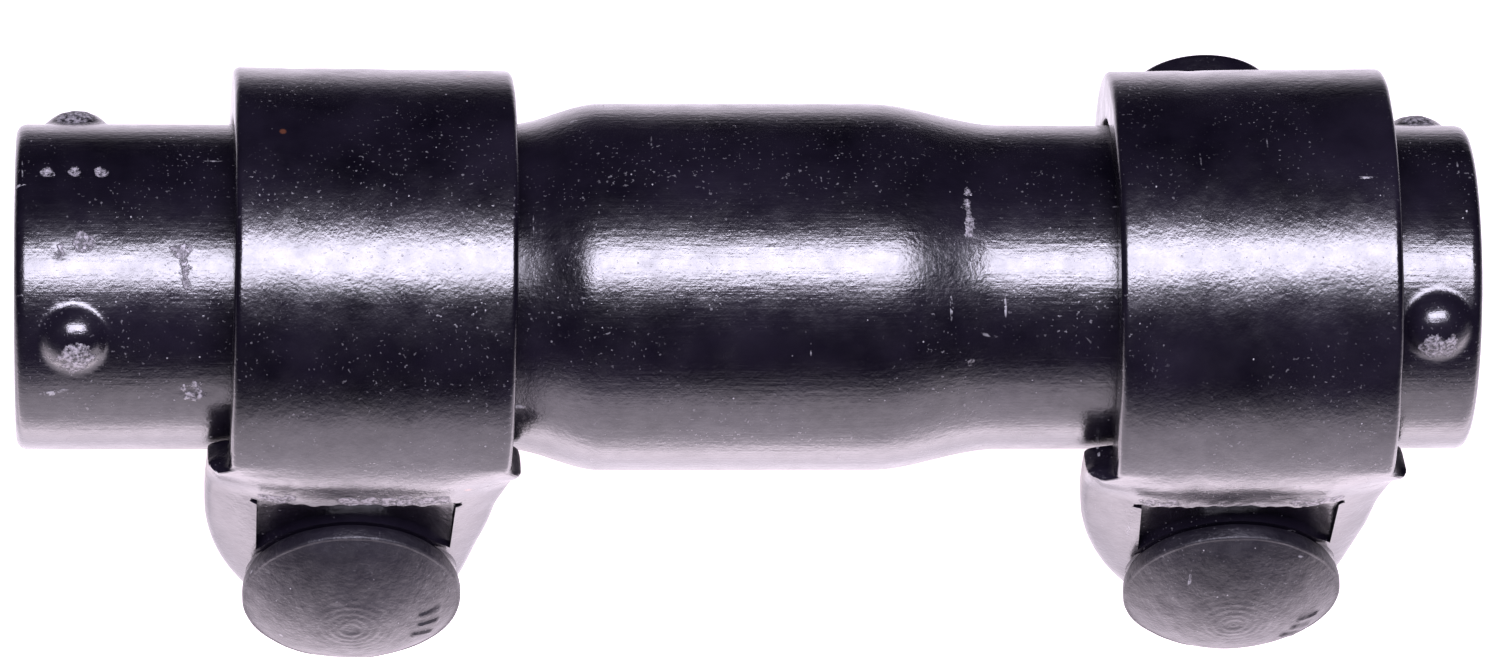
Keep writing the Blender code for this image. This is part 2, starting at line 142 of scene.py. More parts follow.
# Bolt line and seats
BOLT_DEPTH = 36.8 * MM
SEAT = 31 * MM
SEAT_RADIUS = 17.8 * MM
SEAT_CHANNEL_HALF = 15.2 * MM
SEAT_TOP = 13.4 * MM  # depth of the torn lip
SEAT_DRAFT = 1.5 * MM
POCKET_BACK = 30.7 * MM
POCKET_LEAN = 1.4 * MM
POCKET_LEAN_HEIGHT = 5.4 * MM
POCKET_TEAR = 2 * MM  # how far the tears run past the pocket's sides
POCKET_FRONT = 36 * MM
POCKET_WAVES = (4.3 * MM, 2.1 * MM, 0.9 * MM, 0.45 * MM)
POCKET_RAGGED = 0.16 * MM
TEAR_HEIGHT = 1.3 * MM
BOSS_RADIUS = 16.6 * MM
BOSS_BACK = 5.4 * MM  # how far a boss reaches back from its seat
SQUARE_HOLE = 17 * MM
ROUND_HOLE_RADIUS = 8.75 * MM

# Bolt, washer, nut and ring
BOLT_RADIUS = 8 * MM
BOLT_LENGTH = 90 * MM
BOLT_PITCH = 1.5 * MM
BOLT_THREAD_DEPTH = 0.85 * MM
BOLT_THREAD_LENGTH = 44 * MM
BOLT_THREAD_RUNOUT = 4 * MM
BOLT_CHAMFER = 1.5 * MM
BOLT_COLUMNS = 200
HEAD_RADIUS = 17.25 * MM
HEAD_RIM = 2.3 * MM
HEAD_DOME = 6.2 * MM
HEAD_EDGE = 0.6 * MM
HEAD_SEED = {"left": 64, "right": 65}
HEAD_LEAN = {"left": 0.9, "right": -0.6}  # how far the lathe's rings and the bars are turned
LATHE_HEIGHT = 0.03 * MM
LATHE_WAVE = 0.21 * MM
LATHE_REACH = 9 * MM
CENTRE_DIMPLE = (0.25 * MM, 1.7 * MM)  # (depth, radius)
GRADE_BARS = (-34, -20, -6)  # angles of three plain raised bars on the head
GRADE_BAR_RADIUS = 12.4 * MM
GRADE_BAR_HEIGHT = 0.4 * MM
GRADE_BAR_HALF = (0.6 * MM, 1.7 * MM)  # half width, half length
NECK_SIDE = 16 * MM
NECK_LENGTH = 8 * MM
GAP = 0.3 * MM
NUT_END = 60.6 * MM
NUT_HEIGHT = 20 * MM
HEX_HEIGHT = 13.5 * MM
NUT_FLATS = 24 * MM
COLLAR_RADIUS = 11.2 * MM
COLLAR_SWELL = 0.8 * MM
RING_RADIUS = 9.9 * MM
RING_HEIGHT = 4 * MM
LIP_RADIUS = 9.3 * MM
LIP_HEIGHT = 0.9 * MM
NUT_THREAD_DEPTH = 0.6 * MM
NUT_COLUMNS = 180
WASHER_RADIUS = 15 * MM
WASHER_THICKNESS = 3 * MM

# Paint, floor and light
PAINT_DARK = (0.0014, 0.001, 0.0028, 1)
PAINT_LIGHT = (0.007, 0.0055, 0.0105, 1)
DUST = (0.42, 0.41, 0.43, 1)
RUST = (0.22, 0.075, 0.03, 1)
# Pale colour of worn paint, also used for painted highlight spots.
SCUFF_AND_HIGHLIGHT = (0.24, 0.225, 0.245, 1)
NYLON_DARK = (0.016, 0.016, 0.02, 1)
NYLON_LIGHT = (0.03, 0.03, 0.034, 1)
FLOOR_SIZE = 3.0
FLOOR_DROP = 0.0002
# The floor is painted darker away from the middle: a painted falloff of the softbox's light.
FLOOR_NEAR = ((0.5, 0.5, 0.505, 1), (0.53, 0.53, 0.53, 1))
FLOOR_FAR = (0.27, 0.27, 0.265, 1)
FLOOR_FADE = (0.36, 0.2)  # distances from the middle where the near floor ends and is full
# The floor's glow is painted light: it lifts the shadow under the object and brightens what the
# pieces reflect.
FLOOR_GLOW = (1.02, 0.87, 0.98, 1)
FLOOR_FRONT = (0.03, -0.06)  # y where the brighter front half starts and is full
FLOOR_STRENGTH = (1.0, 2.0)  # of the glow behind and in front
STRIP_EDGES = ((-0.072, -0.062), (-0.04, -0.056))  # y of the brightest strip's two edges
STRIP_STRENGTH = 3
SOFTBOX_PLACE = (0.03, -0.32, 0.95)
SOFTBOX_AIM = (0, -0.02, 0.06)
SOFTBOX_SIZE = (0.8, 0.4)
SOFTBOX_POWER = 27
SOFTBOX_COLOUR = (0.86, 0.82, 1.0)
STUDIO_DARK = (0.01, 0.01, 0.012, 1)

# Camera
CAMERA_ELEVATION = 56.5  # degrees above the horizon
CAMERA_DISTANCE = 1.5625
CAMERA_OFFSET = -0.0836  # to the left of the object's middle
CAMERA_AIM = (1.1 * MM, -7.66 * MM)  # along the tube, and up the picture, from the tube's middle
CAMERA_LENS = 240

# Where the frame puts the tube's axis and the two bolts' lines
openings = frame["record"]["physics"]["openings"]
bore_low, bore_high = next(o["box_m"] for o in openings if o["name"] == "threaded_bore")
AXIS = Vector((0, (bore_low[1] + bore_high[1]) / 2, (bore_low[2] + bore_high[2]) / 2))
SLEEVE_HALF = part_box("sleeve_tube")[1].x
SIDES = {"left": -1, "right": 1}


def bolt_line(side):
    """The matrix of the bolt's line: local Z points to the head, X along the strap's width."""
    joint = next(j for j in frame["joints"] if j["name"] == f"{side}_nut_turn")
    turn = clamp_turn(side) @ Euler((math.radians(90), 0, 0)).to_matrix().to_4x4()
    return Matrix.Translation(Vector(joint["pos_m"])) @ turn


def clamp_turn(side):
    tilt, cock = math.radians(CLAMP_TILT[side]), math.radians(CLAMP_COCK[side])
    return Euler((tilt, cock, 0)).to_matrix().to_4x4()


def clamp_frame(side):
    """The matrix of the clamp: origin on the tube's axis, in the middle of the band."""
    turn = clamp_turn(side)
    offset = turn @ Vector((BOLT_SHIFT[side], 0, -BOLT_DEPTH))
    return Matrix.Translation(bolt_line(side).translation - offset) @ turn


# --- Shapes ---------------------------------------------------------------------------------


def smooth_step(share):
    share = np.clip(share, 0, 1)
    return share * share * (3 - 2 * share)


def smooth_ramp(value, low, high):
    return smooth_step((value - low) / (high - low))


def smooth_min(a, b, width):
    share = np.clip(0.5 + (b - a) / (2 * width), 0, 1)
    return b + (a - b) * share - width * share * (1 - share)


def smooth_max(a, b, width):
    return -smooth_min(-a, -b, width)


def ripple(points, wavelength, seed, waves=7):
    """Smooth unevenness from -1 to 1 at each point, from a few sine waves in seeded directions."""
    rng = np.random.default_rng(seed)
    total = np.zeros(points.shape[:-1])
    for _ in range(waves):
        direction = rng.normal(size=3)
        direction *= 2 * math.pi / (wavelength * rng.uniform(0.7, 1.5)) / np.linalg.norm(direction)
        total += np.sin(points @ direction + rng.uniform(0, 2 * math.pi))
    return total / waves


def spaced(profile, spacing):
    """The closed profile with points added so that no step is longer than the spacing."""
    points = []
    for (r0, z0), (r1, z1) in zip(profile, profile[1:] + profile[:1]):
        steps = max(1, math.ceil(math.hypot(r1 - r0, z1 - z0) / spacing))
        points += [(r0 + (r1 - r0) * k / steps, z0 + (z1 - z0) * k / steps) for k in range(steps)]
    return points


def rounded(corners, steps=5):
    """A closed profile from (r, z, fillet radius) corners, each fillet an arc."""
    profile = []
    for index, (r, z, radius) in enumerate(corners):
        corner = Vector((r, z))
        before = Vector(corners[index - 1][:2]) - corner
        after = Vector(corners[(index + 1) % len(corners)][:2]) - corner
        half = before.angle(after) / 2
        if radius <= 0 or math.sin(half) > 0.999:
            profile.append((r, z))
            continue
        reach = min(radius / math.tan(half), 0.49 * before.length, 0.49 * after.length)
        bisector = (before.normalized() + after.normalized()).normalized()
        centre = corner + bisector * (reach / math.cos(half))
        first = corner + before.normalized() * reach - centre
        last = corner + after.normalized() * reach - centre
        for step in range(steps + 1):
            spoke = first.slerp(last, step / steps)  # a unit vector, whatever the two lengths
            profile.append(tuple(centre + spoke * first.length))
    return profile


def mesh_object(name, points, close_rows=True, caps=False, coarse=None):
    """A grid of points, closed round each row, as one mesh whose faces point out.

    Rows marked coarse keep every second point; five-sided faces join them to the full rows.
    """
    rows, columns = points.shape[:2]
    if coarse is None:
        coarse = [False] * rows
    index = np.arange(rows * columns).reshape(rows, columns)
    index = np.hstack([index, index[:, :1]])
    faces = []
    for row in range(rows if close_rows else rows - 1):
        after = (row + 1) % rows
        a, b = index[row], index[after]
        if coarse[row] and coarse[after]:
            a, b = a[::2], b[::2]
        if coarse[row] == coarse[after]:
            faces += np.stack([a[:-1], a[1:], b[1:], b[:-1]], -1).tolist()
            continue
        few, all_ = (a[::2], b) if coarse[row] else (b[::2], a)
        faces += np.stack([few[:-1], few[1:], all_[2::2], all_[1::2], all_[:-2:2]], -1).tolist()
    if caps:
        faces += [index[0, :-1].tolist(), index[-1, :-1].tolist()]
    mesh = bpy.data.meshes.new(name)
    mesh.from_pydata(points.reshape(-1, 3).tolist(), [], faces)
    bm = bmesh.new()
    bm.from_mesh(mesh)
    bmesh.ops.delete(bm, geom=[v for v in bm.verts if not v.link_faces], context="VERTS")
    bmesh.ops.remove_doubles(bm, verts=bm.verts, dist=1e-7)
    bmesh.ops.recalc_face_normals(bm, faces=bm.faces)
    bm.to_mesh(mesh)
    bm.free()
    obj = bpy.data.objects.new(name, mesh)
    bpy.context.scene.collection.objects.link(obj)
    return obj


def turned_points(profile, columns, shape=None):
    """Points of a profile turned round local Z, each radius and height passed through shape."""
    angle = np.arange(columns) / columns * 2 * math.pi
    r, z = (np.array(values)[:, None] + 0 * angle for values in zip(*profile))
    if shape:
        r, z = shape(r, z, angle)
    return cylindrical(r, z, angle)


def placed(points, matrix):
    """The points moved by a 4 x 4 matrix."""
    turn = np.array(matrix)
    return points @ turn[:3, :3].T + turn[:3, 3]


def boolean(target, other, operation):
    """Cuts or joins at once and removes the other object."""
    modifier = target.modifiers.new(operation, "BOOLEAN")
    modifier.object, modifier.operation, modifier.solver = other, operation, "MANIFOLD"
    bpy.context.view_layer.update()
    graph = bpy.context.evaluated_depsgraph_get()
    made = bpy.data.meshes.new_from_object(target.evaluated_get(graph))
    target.modifiers.clear()
    target.data = made
    bpy.data.objects.remove(other, do_unlink=True)


def shade(obj, angle=32):
    obj.data.shade_smooth()
    obj.data.set_sharp_from_angle(angle=math.radians(angle))


def prism_object(name, outline, low, high, spread, matrix):
    """A flat outline drawn out along local Z, its points moved apart by the spread at the top."""
    flat = np.array(outline)
    centre = flat.mean(0)
    away = flat - centre
    away /= np.linalg.norm(away, axis=1)[:, None]
    rings = []
    for height, grow in ((low, 0), (high, spread)):
        ring = flat + away * grow
        rings.append(np.column_stack([ring, np.full(len(ring), height)]))
    return mesh_object(name, placed(np.array(rings), matrix), close_rows=False, caps=True)


def cylindrical(r, z, angle):
    return np.stack([r * np.cos(angle), r * np.sin(angle), z], -1)


def signed_turn(angle, centre):
    """The angle from the centre, from -pi to pi."""
    return (angle - centre + math.pi) % (2 * math.pi) - math.pi


def groove(phase):
    """A V-thread's depth from 0 at its crest to 1 at its root, with flats, once per turn."""
    share = np.abs((phase % 1) - 0.5) * 2
    return np.clip(1.25 * share - 0.1, 0, 1)


# --- Sleeve ---------------------------------------------------------------------------------


def sleeve_half(side, sign, small, large, steps):
    """(radius, x) points of one swaged step, from the bulge outwards."""
    points = []
    for step in range(steps + 1):
        share = step / steps
        radius = large + (small - large) * float(smooth_step(share))
        points.append((radius, BULGE_END[side] + sign * share * SWAGE_LENGTH[side]))
    return points


def sleeve_profile():
    """The closed (radius, x) section of the wall, from the right end round to the bore."""
    outer, inner = {}, {}
    for side, sign in SIDES.items():
        outer[side] = sleeve_half(side, sign, NECK_RADIUS, BULGE_RADIUS, 16)
        near_end = SLEEVE_HALF - 2 * NUB_FROM_END[side] - 2 * MM
        outer[side].append((NECK_RADIUS, sign * near_end))
        steps = 40
        last = SLEEVE_HALF - END_FILLET
        for step in range(1, steps + 1):
            outer[side].append((NECK_RADIUS, sign * (near_end + (last - near_end) * step / steps)))
        for step in range(1, 9):
            turn = math.radians(90 - 90 / 8 * step)
            drop = END_FILLET * (1 - math.sin(turn))
            outer[side].append((NECK_RADIUS - drop, sign * (last + END_FILLET * math.cos(turn))))
        inner[side] = sleeve_half(side, sign, THREAD_CREST, CHAMBER_RADIUS, 8)
        first = SLEEVE_HALF - THREAD_LENGTH
        inner[side].append((THREAD_CREST, sign * first))
        steps = int((THREAD_LENGTH - BORE_CHAMFER) / THREAD_PITCH * 4)
        end = SLEEVE_HALF - BORE_CHAMFER
        for step in range(1, steps + 1):
            inner[side].append((THREAD_CREST, sign * (first + (end - first) * step / steps)))
        inner[side].append((THREAD_CREST + BORE_CHAMFER, sign * SLEEVE_HALF))
    return outer["right"][::-1] + outer["left"] + inner["left"][::-1] + inner["right"]


def nub_centres():
    """(side, x, degrees up from -Y) of the six stop nubs."""
    for side, sign in SIDES.items():
        x = sign * (SLEEVE_HALF - NUB_FROM_END[side])
        for index in range(3):
            yield side, x, NUB_FIRST_ANGLE[side] + 120 * index


def unrolled(x, angle, centre_x, centre_angle):
    """Distances along and round the tube from a point given by its x and degrees up from -Y."""
    return x - centre_x, signed_turn(angle, math.radians(centre_angle)) * NECK_RADIUS


def sleeve_shape(r, x, angle):
    """Adds nubs, wear, tool rings, scars, punch dots and the inside threads to the plain tube."""
    outside = r > WALL_MIDDLE
    place = np.stack([x, r * np.cos(angle), r * np.sin(angle)], -1)
    raise_by = np.zeros_like(r)
    ball = (NUB_BASE_RADIUS**2 + NUB_HEIGHT**2) / (2 * NUB_HEIGHT)
    worn_below, worn_radius = NUB_WORN_SPOT
    for index, (_, centre_x, centre_angle) in enumerate(nub_centres()):
        along, round_ = unrolled(x, angle, centre_x, centre_angle)
        away = np.hypot(along, round_)
        cap = np.sqrt(np.maximum(ball**2 - away**2, 0)) - ball + NUB_HEIGHT
        cap = np.where(away < ball, cap, -ball)
        cap = smooth_max(cap, 0 * cap, NUB_FILLET) - smooth_max(-ball, 0, NUB_FILLET)
        worn = smooth_step(1.3 - np.hypot(along, round_ + worn_below) / worn_radius)
        cap -= NUB_WEAR * worn * (0.6 + 0.7 * ripple(place, 1.3 * MM, 40 + index))
        raise_by = np.maximum(raise_by, cap)
    raise_by += sum(
        height * (ripple(place, length, seed) - 1) for height, length, seed in SLEEVE_RIPPLES
    )
    for ring_x, height in tool_rings():
        ring = np.exp(-(((x - ring_x) / RING_WIDTH) ** 2))
        raise_by += height * ring * (0.6 + 0.4 * ripple(place, 20 * MM, 5))
    for centre_x, centre_angle, length, width, depth in scars():
        along, round_ = unrolled(x, angle, centre_x, centre_angle)
        scar = np.exp(-((along / width) ** 2) - (round_ / length) ** 4)
        raise_by -= depth * scar * (0.5 + 0.8 * ripple(place, 1.6 * MM, 9))
    for index in (-1, 0, 1):
        along, round_ = unrolled(x, angle, *PUNCH_MARKS)
        away = np.hypot(along - index * PUNCH_PITCH, round_)
        raise_by -= PUNCH_DEPTH * smooth_step(1.3 - away / PUNCH_RADIUS)
    hand = np.sign(x)
    phase = x / THREAD_PITCH + hand * angle / (2 * math.pi)
    thread_start = SLEEVE_HALF - THREAD_LENGTH
    runout = smooth_ramp(np.abs(x), thread_start, thread_start + THREAD_RUNOUT)
    threaded = np.abs(r - THREAD_CREST) < 0.01 * MM
    cut = THREAD_DEPTH * groove(phase) * runout * threaded
    on_face = np.abs(x) > SLEEVE_HALF - END_FILLET / 2
    return r + np.where(outside & ~on_face, raise_by, 0) + cut, x


def tool_rings():
    """(x, height) of the fine rings that the swaging dies left round the tube."""
    rings = [(-33.2, 0.03), (-31.4, -0.02), (-29.8, 0.04), (-27.5, -0.02)]
    rings += [(28.6, -0.02), (30.4, 0.05), (32.6, -0.03), (35.0, 0.03)]
    return [(x * MM, height * MM) for x, height in rings]


def scars():
    """(x, angle, half length round, half width along, depth) of scuffs in the paint."""
    marks = [
        (33.6, 84, 4.8, 0.5, 0.22),
        (32.4, 33, 0.9, 0.6, 0.2),
        (34.0, 30, 0.7, 0.6, 0.2),
        (-106.0, 69, 0.9, 1.1, 0.25),
        (-102.5, 72, 0.6, 2.2, 0.15),
        (-87.5, 69, 0.7, 2.0, 0.2),
        (-86.6, 62, 2.6, 0.8, 0.2),
        (-85.5, 17, 0.8, 2.2, 0.25),
        (20.5, 63, 0.8, 1.2, 0.15),
    ]
    return [(x * MM, angle, a * MM, b * MM, d * MM) for x, angle, a, b, d in marks]


def make_sleeve():
    profile = spaced(sleeve_profile(), SLEEVE_SPACING)
    coarse = [radius < WALL_MIDDLE - 2 * MM for radius, _ in profile]
    points = turned_points(profile, SLEEVE_COLUMNS, sleeve_shape)
    # The turned points run round local Z; here local Z is the tube, and angle 0 faces -Y.
    placed_points = np.stack([points[..., 2], -points[..., 0], points[..., 1]], -1) + np.array(AXIS)
    sleeve = mesh_object("fine_sleeve_tube", placed_points, coarse=coarse)
    for side, sign in SIDES.items():
        cut_slot(sleeve, side, sign)
    shade(sleeve, 40)
    return sleeve


def cut_slot(sleeve, side, sign):
    """The closing slot: a straight cut through one wall, up to a hole twice as wide."""
    end = SLEEVE_HALF - SLOT_LENGTH
    outline = [(SLEEVE_HALF + 5 * MM, -SLOT_WIDTH / 2), (SLEEVE_HALF + 5 * MM, SLOT_WIDTH / 2)]
    for step in range(25):
        turn = math.radians(30 + 300 * step / 24)
        outline.append((end + SLOT_WIDTH * math.cos(turn), SLOT_WIDTH * math.sin(turn)))
    outline = [(sign * x, y) for x, y in outline]
    angle = math.radians(NUB_FIRST_ANGLE[side] + 180)
    turn = Euler((math.pi / 2 - angle, 0, 0)).to_matrix().to_4x4()
    matrix = Matrix.Translation(AXIS) @ turn
    cutter = prism_object(f"{side}_slot", outline, 8 * MM, 40 * MM, 0, matrix)
    boolean(sleeve, cutter, "DIFFERENCE")


# --- Strap ----------------------------------------------------------------------------------


def strap_path():
    """(y, z, lean) down the outer face, from the top of the band to the tip of the front ear."""
    path = []
    for degrees in list(np.arange(-90, -6, 2.5)) + list(np.arange(-6, WRAP_ANGLE + 0.1, 0.8)):
        lean = math.radians(degrees)
        path.append((-STRAP_RADIUS * math.cos(lean), -STRAP_RADIUS * math.sin(lean), lean))
    lean = math.radians(WRAP_ANGLE)
    y, z = -STRAP_RADIUS * math.cos(lean), -STRAP_RADIUS * math.sin(lean)
    bend = math.radians(WRAP_ANGLE - EAR_ANGLE) / BEND_STEPS
    for _ in range(BEND_STEPS):
        length = SHOULDER_BEND_RADIUS * bend
        y += length * math.sin(lean - bend / 2)
        z -= length * math.cos(lean - bend / 2)
        lean -= bend
        path.append((y, z, lean))
    straight = -z
    for step in range(1, EAR_STEPS + 1):
        share = math.sin(math.pi / 2 * step / EAR_STEPS) * 0.998
        depth = straight + (EAR_TIP - straight) * share
        path.append((y + (depth - straight) * math.tan(lean), -depth, lean))
    return path


def strap_width(side, depth, inward, facing):
    """(half width, middle) of the strap at a depth; inward runs from 0 at the outer face to 1."""
    if facing < 0:
        depth, inward = depth - REAR_DROP * smooth_ramp(depth, 20 * MM, 8 * MM), 0.3 * inward
    low = OUTER_FLARE[0] + (INNER_FLARE[0] - OUTER_FLARE[0]) * inward
    high = OUTER_FLARE[1] + (INNER_FLARE[1] - OUTER_FLARE[1]) * inward
    flare = smooth_ramp(depth, low, high)
    half = BAND_HALF_WIDTH + (EAR_HALF_WIDTH[side] - BAND_HALF_WIDTH) * flare
    if depth > EAR_WIDEST:
        half = half * math.sqrt(max(1 - ((depth - EAR_WIDEST) / (EAR_TIP - EAR_WIDEST)) ** 2, 0))
    lower = smooth_ramp(depth, *EAR_SHIFT_DEPTHS)
    shift = SHOULDER_SHIFT[side] + (BOLT_SHIFT[side] - SHOULDER_SHIFT[side]) * lower
    start, end = EDGE_CUT_DEPTHS
    cut = np.minimum(EDGE_CUT * smooth_ramp(depth, *start) * smooth_ramp(depth, *end), half)
    return half - cut / 2, shift * flare - cut / 2


def strap_outline(half, edge):
    """(across, out) round a rounded rectangle, out measured from the middle of its thickness."""
    thick = STRAP_THICKNESS / 2
    arcs = []
    for sx, sy, start in ((1, 1, 0), (-1, 1, 90), (-1, -1, 180), (1, -1, 270)):
        turns = [math.radians(start + 22.5 * step) for step in range(5)]
        x, y = sx * (half - edge), sy * (thick - edge)
        arcs.append([(x + edge * math.cos(t), y + edge * math.sin(t)) for t in turns])
    outline = []
    # The outer face has the most points, for its torn lip.
    for arc, following, run in zip(arcs, arcs[1:] + arcs[:1], (96, 6, 24, 6)):
        outline += arc
        for step in range(1, run):
            outline.append(tuple(a + (b - a) * (step / run) for a, b in zip(arc[-1], following[0])))
    return np.array(outline)


def strap_ring(side, depth, facing):
    """(across, out from the outer face) of the strap's outline at a depth below the tube's axis."""
    half, _ = strap_width(side, depth, 0.5, facing)
    outline = strap_outline(half, min(STRAP_EDGE, half / 2))
    across, out = outline[:, 0] / half, outline[:, 1]
    inward = 0.5 - out / STRAP_THICKNESS
    half, middle = strap_width(side, depth, inward, facing)
    tip = min(max(depth - EAR_TIP + TIP_ROUND, 0) / TIP_ROUND, 1)
    thin = math.sqrt(1 - (TIP_THINNING * tip) ** 2)
    fall = EDGE_FALL * smooth_ramp(depth, *EDGE_FALL_DEPTHS)
    past = np.maximum(0, (np.abs(across) - EDGE_FALL_START) / (1 - EDGE_FALL_START))
    follow = 1 + (INNER_FALL_SHARE - 1) * smooth_step(inward * 1.4 - 0.2)
    drop = fall * thin * follow * past**2
    return middle + across * half, out * thin - STRAP_THICKNESS / 2 - drop


def strap_points(side):
    """The rings of points along the whole strap, from the front ear's tip to the rear ear's."""
    front = strap_path()
    stations = [(y, z, lean, 1) for y, z, lean in reversed(front)]
    stations += [(-y, z, lean, -1) for y, z, lean in front[1:]]
    rings = []
    for y, z, lean, facing in stations:
        across, out = strap_ring(side, -z, facing)
        normal = (-facing * math.cos(lean), -math.sin(lean))
        rings.append(np.column_stack([across, y + out * normal[0], z + out * normal[1]]))
    return np.array(rings)


def uneven_strap(points, side):
    """The blank's hand-formed unevenness, which fades out inside the band."""
    seed = STRAP_SEED[side]
    radial = points * np.array([0, 1, 1])
    radial /= np.maximum(np.linalg.norm(radial, axis=-1), 1e-6)[..., None]
    outer = smooth_ramp(np.linalg.norm(points[..., 1:], axis=-1), 29 * MM, 32 * MM)[..., None]
    swell = sum(
        height * ripple(points, length, seed + index)
        for index, (height, length) in enumerate(STRAP_RIPPLES)
    )
    for place, deep in BAND_DIPS[side]:
        swell = swell - deep * np.exp(-(((points[..., 0] - place) / BAND_DIP_WIDTH) ** 2))

    # The torn lip is ragged, mostly across the band, and drawn in.
    depth, across = -points[..., 2], np.abs(points[..., 0])
    lip = smooth_ramp(depth, SEAT_TOP - LIP_TEAR_HEIGHT, SEAT_TOP)
    lip = lip * smooth_ramp(across, *LIP_TEAR_ENDS)
    torn = ripple(points * np.array([1, 0.25, 0.25]), 0.9 * MM, seed + 4, 9)
    torn = torn * ripple(points, 5 * MM, seed + 5)
    front = outer[..., 0] * (depth < SEAT_TOP + 1 * MM)
    swell = swell + front * (LIP_RAGGED * lip * torn - LIP_DRAWN_IN * lip)

    # The horns stand up on the front ears only.
    start, end = HORN_DEPTHS
    horn = smooth_ramp(across, *HORN_ACROSS)
    horn *= smooth_ramp(depth, *start) * smooth_ramp(depth, *end)
    horn *= points[..., 1] < 0
    points = points + np.array([0, 0, HORN_HEIGHT]) * horn[..., None] * outer
    edge = 0.1 * MM * (ripple(points, 11 * MM, seed + 2) - 1)
    sideways = np.sign(points[..., :1]) * np.array([1, 0, 0]) * edge[..., None]
    return points + radial * swell[..., None] * outer + sideways


def pocket_object(matrix, seed):
    """The cutter for the pocket over a seat: its back leans in under a ragged lip."""
    rows = []
    phases = np.random.default_rng(seed).uniform(0, 2 * math.pi, 4)
    reach = SEAT_CHANNEL_HALF + POCKET_TEAR
    for across in np.linspace(-reach, reach, 121):
        ragged = sum(math.sin(across / wave + phase) for wave, phase in zip(POCKET_WAVES, phases))
        roof = -SEAT_TOP + POCKET_RAGGED * ragged
        beside = max(abs(across) - SEAT_CHANNEL_HALF, 0) / POCKET_TEAR
        bottom = -BOLT_DEPTH + math.sqrt(max(SEAT_RADIUS**2 - across**2, 0)) - 0.5 * MM
        if beside > 0:
            bottom = roof - TEAR_HEIGHT * (1 - 0.7 * beside)
        deepest = min(roof - bottom, POCKET_LEAN_HEIGHT)
        start = POCKET_BACK + (SEAT - POCKET_BACK + 0.6 * MM) * beside
        lean = deepest / POCKET_LEAN_HEIGHT * POCKET_LEAN
        floor = bottom - 0.01 * MM
        section = ((-POCKET_FRONT, roof - 0.3 * MM), (-start, roof + 0.3 * MM))
        section += ((-start, roof - 0.1 * MM), (lean - start, roof - deepest))
        section += ((lean - start, floor), (-POCKET_FRONT, floor))
        rows.append([(across, y, z) for y, z in section])
    return mesh_object("pocket", placed(np.array(rows), matrix), close_rows=False, caps=True)


def circle(radius, steps=64):
    turns = [2 * math.pi * k / steps for k in range(steps)]
    return [(radius * math.cos(turn), radius * math.sin(turn)) for turn in turns]


def square(side_length, corner):
    """A square outline with rounded corners."""
    outline = []
    inner = side_length / 2 - corner
    for quarter, (sx, sy) in enumerate(((1, 1), (-1, 1), (-1, -1), (1, -1))):
        for step in range(6):
            turn = math.radians(90 * quarter + 18 * step)
            x, y = corner * math.cos(turn), corner * math.sin(turn)
            outline.append((sx * inner + x, sy * inner + y))
    return outline


def make_strap(side):
    matrix = clamp_frame(side)
    seed = STRAP_SEED[side]
    points = placed(uneven_strap(strap_points(side), side), matrix)
    strap = mesh_object(f"fine_{side}_clamp_strap", points, close_rows=False, caps=True)
    for facing, hole in ((-1, square(SQUARE_HOLE, 1.2 * MM)), (1, circle(ROUND_HOLE_RADIUS))):
        about = 0 if facing < 0 else math.pi
        turn = Euler((math.radians(90), 0, about), "XYZ").to_matrix().to_4x4()
        line = matrix @ Matrix.Translation((BOLT_SHIFT[side], 0, -BOLT_DEPTH)) @ turn
        boss = prism_object("boss", circle(BOSS_RADIUS), SEAT - BOSS_BACK, SEAT + MM, 0, line)
        boolean(strap, boss, "UNION")
        seat = prism_object("seat", circle(SEAT_RADIUS, 96), SEAT, SEAT + 9 * MM, SEAT_DRAFT, line)
        boolean(strap, seat, "DIFFERENCE")
        turn = Matrix.Rotation(about, 4, "Z")
        pocket = matrix @ Matrix.Translation((BOLT_SHIFT[side], 0, 0)) @ turn
        boolean(strap, pocket_object(pocket, seed + facing), "DIFFERENCE")
        through = prism_object("hole", hole, SEAT - 18 * MM, SEAT + 12 * MM, 0, line)
        boolean(strap, through, "DIFFERENCE")
    shade(strap)
    return strap


# --- Bolt, washer, nut and ring ---------------------------------------------------------------


def head_profile():
    """(radius, height) from the apex of the dome to the underside of the head."""
    edge = HEAD_EDGE
    inner = HEAD_RADIUS - edge
    ball = (HEAD_RADIUS**2 + HEAD_DOME**2) / (2 * HEAD_DOME)
    profile = [(0.02 * MM, HEAD_RIM + HEAD_DOME)]
    for step in range(1, 111):
        radius = inner * step / 110
        profile.append((radius, HEAD_RIM + HEAD_DOME - ball + math.sqrt(ball**2 - radius**2)))
    first = math.acos(inner / ball)
    low = profile[-1][1] - edge * math.sin(first)
    middle = inner - edge * math.cos(first) + edge * 0.35
    for step in range(1, 9):
        turn = first * (1 - step / 8)
        radius = middle + (HEAD_RADIUS - middle) * math.cos(turn)
        profile.append((radius, low + edge * math.sin(turn)))
    profile += [(HEAD_RADIUS, 1.2 * MM), (HEAD_RADIUS - 0.1 * MM, 0.6 * MM)]
    return profile + [(HEAD_RADIUS - 0.4 * MM, 0)]


